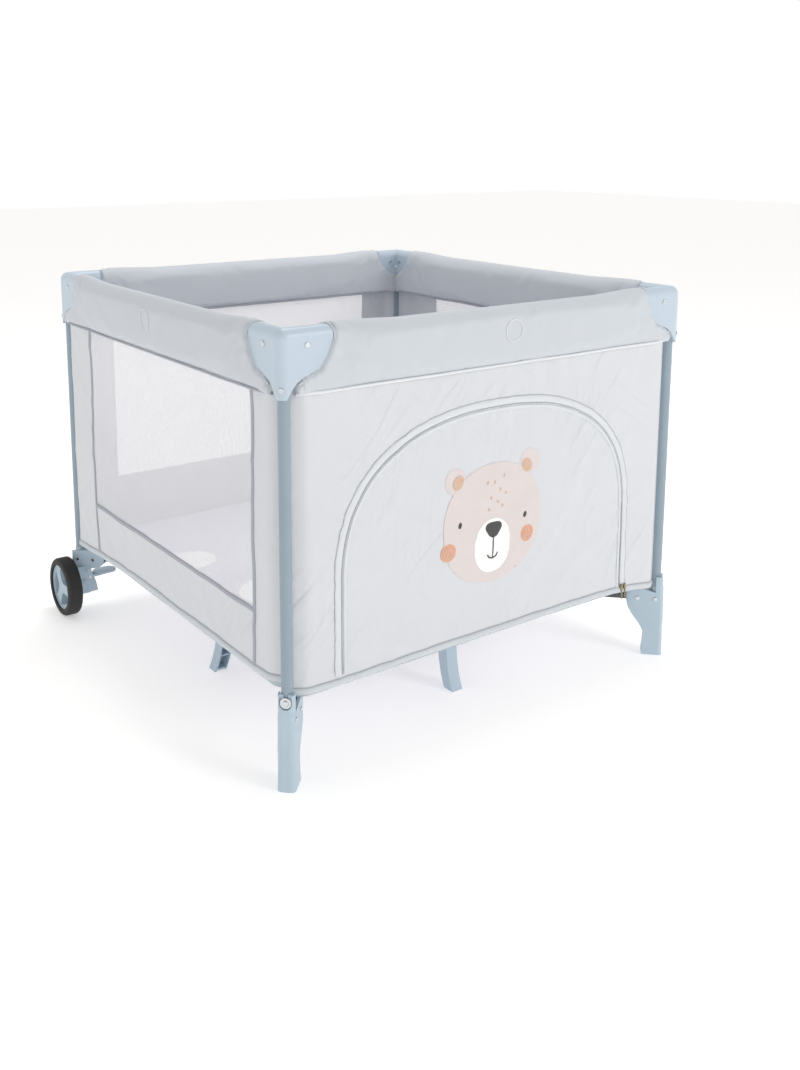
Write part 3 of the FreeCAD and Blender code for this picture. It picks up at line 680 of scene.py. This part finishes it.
def closed_tube(name, rings, material):
    """A tube through rings of points, closed at both ends."""
    n = len(rings[0])
    faces = [f[::-1] for f in tube_faces(len(rings), n)]
    uvs = [(i * rim_step, j * 0.006) for i in range(len(rings)) for j in range(n)]
    return new_piece(name, [p for ring in rings for p in ring], faces, material, uvs)


def rim_pad(side):
    """A side's padded rim between the caps, with its ends tucked under them."""
    half = SIDES[side][1]
    section = pad_section()
    free_end = half - cap_reach - 0.008
    ends = list(np.arange(half - 0.024, free_end, -tucked_step))
    inner_count = round(2 * free_end / rim_step)
    stations = [-u for u in ends] + list(np.linspace(-free_end, free_end, inner_count)) + ends[::-1]
    pad = closed_tube("rim_pad_" + side, [pad_ring(side, u, section) for u in stations], rim_cloth)
    pins = [i * len(section) + j for i, u in enumerate(stations) for j, (_, z) in enumerate(section)
            if half - abs(u) < 0.1 or z < rim_bottom + 0.006]
    simulate(pad, pins, pressure=4.0, slack=0.012, reach=0.005)
    pad.modifiers.new("smooth", "SUBSURF").render_levels = 1
    pad.modifiers["smooth"].levels = 1
    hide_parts("rim_pads")
    return pad


PADDING_BODY = {("front", "left"): "front_left", ("front", "right"): "front_right",
                ("right", "left"): "front_right", ("right", "right"): "back_right",
                ("back", "left"): "back_right", ("back", "right"): "back_left",
                ("left", "left"): "back_left", ("left", "right"): "front_left"}


def cap_padding(side, end, sign):
    """The rim's padding inside a cap, which stays there when the frame folds."""
    half = SIDES[side][1]
    rings = [pad_ring(side, sign * (half - p), pad_section(), 0.93) for p in np.linspace(0.016, 0.092, 22)]
    padding = closed_tube("cap_padding_%s_%s" % (side, end), rings, rim_cloth)
    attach(padding, PADDING_BODY[side, end])


def cap_edge(gap):
    """The line just outside a cap's edge as (p, out, z), from the inner skirt over the top to the outer."""
    width = cap_half_width + 0.0005
    line = [(p + gap, -width, z - gap * 0.5) for p, z in CAP_INNER_EDGE[1:]]
    inner_p, outer_p = CAP_INNER_EDGE[-1][0], CAP_OUTER_EDGE[-1][0]
    for i in range(1, 12):
        share = i / 12
        turn = math.pi * (1 - share)
        line.append((inner_p + (outer_p - inner_p) * share + gap, width * math.cos(turn),
                     0.750 + (width + 0.001) * math.sin(turn)))
    return line + [(p + gap, width, z - gap * 0.5) for p, z in CAP_OUTER_EDGE[:1:-1]]


def smoothed(line, count):
    """More points on a soft curve through a line's points."""
    points = np.array(line)
    lengths = np.concatenate([[0], np.cumsum(np.linalg.norm(np.diff(points, axis=0), axis=1))])
    at = np.linspace(0, lengths[-1], count)
    fine = np.column_stack([np.interp(at, lengths, points[:, k]) for k in range(3)])
    for _ in range(3):
        fine[1:-1] = (fine[:-2] + 2 * fine[1:-1] + fine[2:]) / 4
    return [tuple(p) for p in fine]


def surface_tree(piece):
    """A tree of a piece's faces, for finding points on them."""
    mesh = piece.data
    return BVHTree.FromPolygons([v.co for v in mesh.vertices], [tuple(f.vertices) for f in mesh.polygons])


def on_pad(tree, side, u, z, lift):
    """The point of a pad's outer face at u and z, seen from a start well outside it."""
    start = place(side, u, 0.08, z)
    inward = (place(side, u, 0, z) - start).normalized()
    return tree.ray_cast(start, inward)[0] - inward * lift


def stitched_ring(pad, side, u, z, radius, width, count=48):
    """A plain ring of thread on the outer face of a pad."""
    tree = surface_tree(pad)
    points = []
    for i in range(count + 1):
        turn = math.tau * i / count
        for reach in (radius - width / 2, radius + width / 2):
            points.append(on_pad(tree, side, u + reach * math.cos(turn), z + reach * math.sin(turn), 0.0011))
    faces = [(2 * i, 2 * i + 1, 2 * i + 3, 2 * i + 2) for i in range(count)]
    return new_piece("rim_ring_" + side, points, faces, white_piping, [(p.x, p.z) for p in points])


def piping(name, side, sign, material, radius, count=80):
    """The piping along a lower edge of the rim, outside where sign is 1, pinched in at the posts."""
    half = SIDES[side][1]
    line = []
    for i in range(count + 1):
        u = (half - 0.014) * (i / (count / 2) - 1)
        wave = 0.0014 * noise.noise(Vector((u * 9, sign, SIDES[side][0])))
        pinch = 1 - 0.35 * (1 - smooth(half - abs(u), 0.014, 0.06))
        line.append((u, sign * (0.0195 + wave) * pinch, rim_bottom + 0.0005 + wave))
    return bar("rim_piping_%s_%s" % (name, side), side, line, radius, material, 8)


ENDS = (("left", -1), ("right", 1))
RING_PLACES = {"front": 0.01, "left": 0.0}
for side, (_, half, _) in SIDES.items():
    pad = rim_pad(side)
    for end, sign in ENDS:
        cap_padding(side, end, sign)
    if side == "front":
        trims = [piping("outer", side, 1, white_piping, 0.0027)]
    else:
        trims = [piping("outer", side, 1, binding_cloth, 0.0022)]
    trims.append(piping("inner", side, -1, binding_cloth, 0.0021))
    for end, sign in ENDS:
        line = [(sign * (half - p), out, z) for p, out, z in smoothed(cap_edge(0.0035), 60)]
        trims.append(bar("cap_welt_%s_%s" % (side, end), side, line, 0.0021, rim_cloth, 8))
    if side in RING_PLACES:
        trims.append(stitched_ring(pad, side, RING_PLACES[side], 0.722, 0.019, 0.0016))
    for piece in [pad] + trims:
        folds_with(piece, side, rim=True)


# ---- post sleeves ------------------------------------------------------------------------------------
sleeve_radius, sleeve_seam = 0.0100, 0.013
sleeve_bottom, sleeve_top = 0.146, 0.704


def sleeve(corner, sx, sy, count=36):
    """Cloth round a post, drawn out to a seam towards the middle of the playpen."""
    axis = middle("post_" + corner)
    inward = Vector((-sx, -sy, 0)).normalized()
    across = Vector((-inward.y, inward.x, 0))
    section = []
    for k in range(count + 1):
        w = math.tau * k / count
        tail = max(0.0, math.cos(w)) ** 7
        section.append((sleeve_radius * math.cos(w) + sleeve_seam * tail,
                        sleeve_radius * math.sin(w) * (1 - 0.25 * tail)))
    heights = np.arange(sleeve_bottom, sleeve_top, 0.006)
    points, uvs = [], []
    for z in heights:
        for k, (a, b) in enumerate(section):
            crumple = math.exp(-abs(z - 0.655) / 0.03) + math.exp(-abs(z - 0.15) / 0.02) + 0.35
            swell = 1 + 0.04 * crumple * noise.noise(Vector((a * 60 + sx * 5, b * 60 + sy * 5, z * 55)))
            side_step = inward * a * swell + across * b * swell
            points.append((axis.x + side_step.x, axis.y + side_step.y, z))
            uvs.append((k * 0.0026, z))
    piece = new_piece("sleeve_" + corner, points, strips(len(heights), len(section)), sleeve_cloth, uvs)
    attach(piece, corner)


for corner, sx, sy in CORNERS:
    sleeve(corner, sx, sy)


# ---- floor and mattress, in quarters that the base tubes carry ----------------------------------------
def quarter(name, sx, sy, low, high, step, material, round_edge, corner_radius):
    """A quarter of a slab, rounded at its outer corner and meeting the others in the middle, and its pins."""
    edge_x, edge_y = half_x - floor_gap, half_y - floor_gap
    middle_gap = 0.0006
    xs = np.linspace(middle_gap, edge_x, round(edge_x / step))
    ys = np.linspace(middle_gap, edge_y, round(edge_y / step))
    rows, columns = len(ys), len(xs)
    points, pins, faces = [], [], []
    for top in (False, True):
        for j, y in enumerate(ys):
            for i, x in enumerate(xs):
                side_gap = min(x, y, edge_x - x, edge_y - y)
                inset = round_edge * (1 - smooth(side_gap, 0.0, round_edge * 2.2))
                if i in (0, columns - 1) or j in (0, rows - 1):
                    pins.append(len(points))
                z = high - inset if top else low + inset * 0.4
                dx, dy = x - edge_x + corner_radius, y - edge_y + corner_radius
                turn_in = max(dx, dy) / math.hypot(dx, dy) - 1 if min(dx, dy) > 0 else 0.0
                points.append((sx * (x + dx * turn_in), sy * (y + dy * turn_in) + centre_y, z))
    base, order = rows * columns, sx * sy
    for start, turn in ((0, -order), (base, order)):
        faces += [tuple(start + k for k in face)[::turn] for face in strips(rows, columns)]
    ring = list(range(columns)) + [j * columns + columns - 1 for j in range(1, rows)]
    ring += [(rows - 1) * columns + i for i in range(columns - 2, -1, -1)]
    ring += [j * columns for j in range(rows - 2, 0, -1)]
    faces += [(a, b, b + base, a + base)[::order] for a, b in zip(ring, ring[1:] + ring[:1])]
    return new_piece(name, points, faces, material, [(p[0], p[1]) for p in points]), pins


# plain shapes printed on the two left quarters of the mattress
PRINTS = {"front_left": [("mattress_shape_a", ellipse(-0.235, -0.105, 0.100, 0.078, 2.2, 15), print_pale),
                         ("mattress_shape_b", ellipse(-0.30, -0.285, 0.10, 0.085, 2.2, -15), print_pale),
                         ("mattress_shape_c", ellipse(-0.10, -0.30, 0.07, 0.06, 2.1, 10), print_pale),
                         ("mattress_spot_a", ellipse(-0.19, -0.12, 0.022, 0.02), print_pink),
                         ("mattress_spot_b", ellipse(-0.35, -0.31, 0.022, 0.02), print_pink),
                         ("mattress_spot_c", ellipse(-0.24, -0.24, 0.02, 0.018), print_pink)],
          "back_left": [("mattress_shape_d", ellipse(-0.33, 0.13, 0.06, 0.05, 2.1, 10), print_pale)]}
SHAPE_RISE, SPOT_RISE = 0.0008, 0.0014
for corner, sx, sy in CORNERS:
    floor, _ = quarter("floor_" + corner, sx, sy, floor_bottom, floor_top, 0.03, floor_cloth,
                       round_edge=0.0002, corner_radius=0.03)
    mattress, pins = quarter("mattress_" + corner, sx, sy, mattress_bottom, mattress_top, 0.010,
                             mattress_cloth, round_edge=0.006, corner_radius=0.08)
    simulate(mattress, pins, pressure=3.0, slack=0.012, reach=0.004)
    top_of = surface_tree(mattress)
    mattress.modifiers.new("smooth", "SUBSURF").levels = 1
    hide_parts("mattress")
    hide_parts("floor_panel")
    prints = []
    for name, loop, material in PRINTS.get(corner, []):
        flat, faces, _ = filled([loop], 0.010)
        rise = Vector((0, 0, SPOT_RISE if "spot" in name else SHAPE_RISE))
        tops = [top_of.find_nearest(Vector((x, y + centre_y, 0.2)))[0] for x, y in flat]
        prints.append(new_piece(name, [p + rise for p in tops], faces, material, flat))
    for piece in [floor, mattress] + prints:
        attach(piece, "base_" + corner)
        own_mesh(piece)


# ---- stage, light and camera ---------------------------------------------------------------------------
stage_white = surface("stage_white", "f8f6f3", 0.9, 0.003, 3.0, Emission_Color=(1, 1, 1, 1),
                      Emission_Strength=0.38)
bpy.context.scene.view_settings.view_transform = "Standard"
bpy.ops.mesh.primitive_plane_add(size=30, location=(0, 0, -0.0005))
ground = bpy.context.object
ground.data.materials.append(stage_white)

world = bpy.data.worlds.new("studio")
bpy.context.scene.world = world
world.use_nodes = True
sky = world.node_tree.nodes["Background"]
sky.inputs["Color"].default_value = (1, 1, 1, 1)
# the sky is even, and dimmer from a little above the horizon upwards
sky_place = node(world, "ShaderNodeTexCoord").outputs["Generated"]
height = node(world, "ShaderNodeSeparateXYZ", {"Vector": sky_place})
fade = node(world, "ShaderNodeMapRange", {"Value": height.outputs["Z"], "From Min": 0.3, "From Max": 0.55,
                                          "To Min": 1.0, "To Max": 0.52})
world.node_tree.links.new(fade.outputs["Result"], sky.inputs["Strength"])


def softbox(name, location, target, size, power):
    """A rectangular lamp that faces a point."""
    light = bpy.data.lights.new(name, "AREA")
    light.shape = "RECTANGLE"
    light.size, light.size_y = size
    light.energy = power
    lamp = bpy.data.objects.new(name, light)
    bpy.context.scene.collection.objects.link(lamp)
    lamp.location = location
    lamp.rotation_euler = (Vector(target) - Vector(location)).to_track_quat("-Z", "Y").to_euler()


softbox("key", (2.2, -5.2, 2.8), (0, 0, 0.4), (1.8, 1.8), power=68)
softbox("side", (-3.4, 0.9, 2.4), (0, 0, 0.4), (1.6, 1.6), power=4)
softbox("top", (0.6, 0.8, 3.4), (0, 0, 0.3), (1.4, 1.4), power=32)

# the camera looks past the near left corner, from a little above the rim
camera = bpy.data.cameras.new("camera")
eye = bpy.data.objects.new("camera", camera)
bpy.context.scene.collection.objects.link(eye)
bpy.context.scene.camera = eye
eye.location = (-1.332, -1.9478, 1.0525)
yaw, pitch = math.radians(-34.84), math.radians(10.28)
ahead = Vector((-math.sin(yaw) * math.cos(pitch), math.cos(yaw) * math.cos(pitch), -math.sin(pitch)))
eye.rotation_euler = ahead.to_track_quat("-Z", "Y").to_euler()
camera.lens = 38.58
camera.shift_x, camera.shift_y = 0.0374, -0.1776
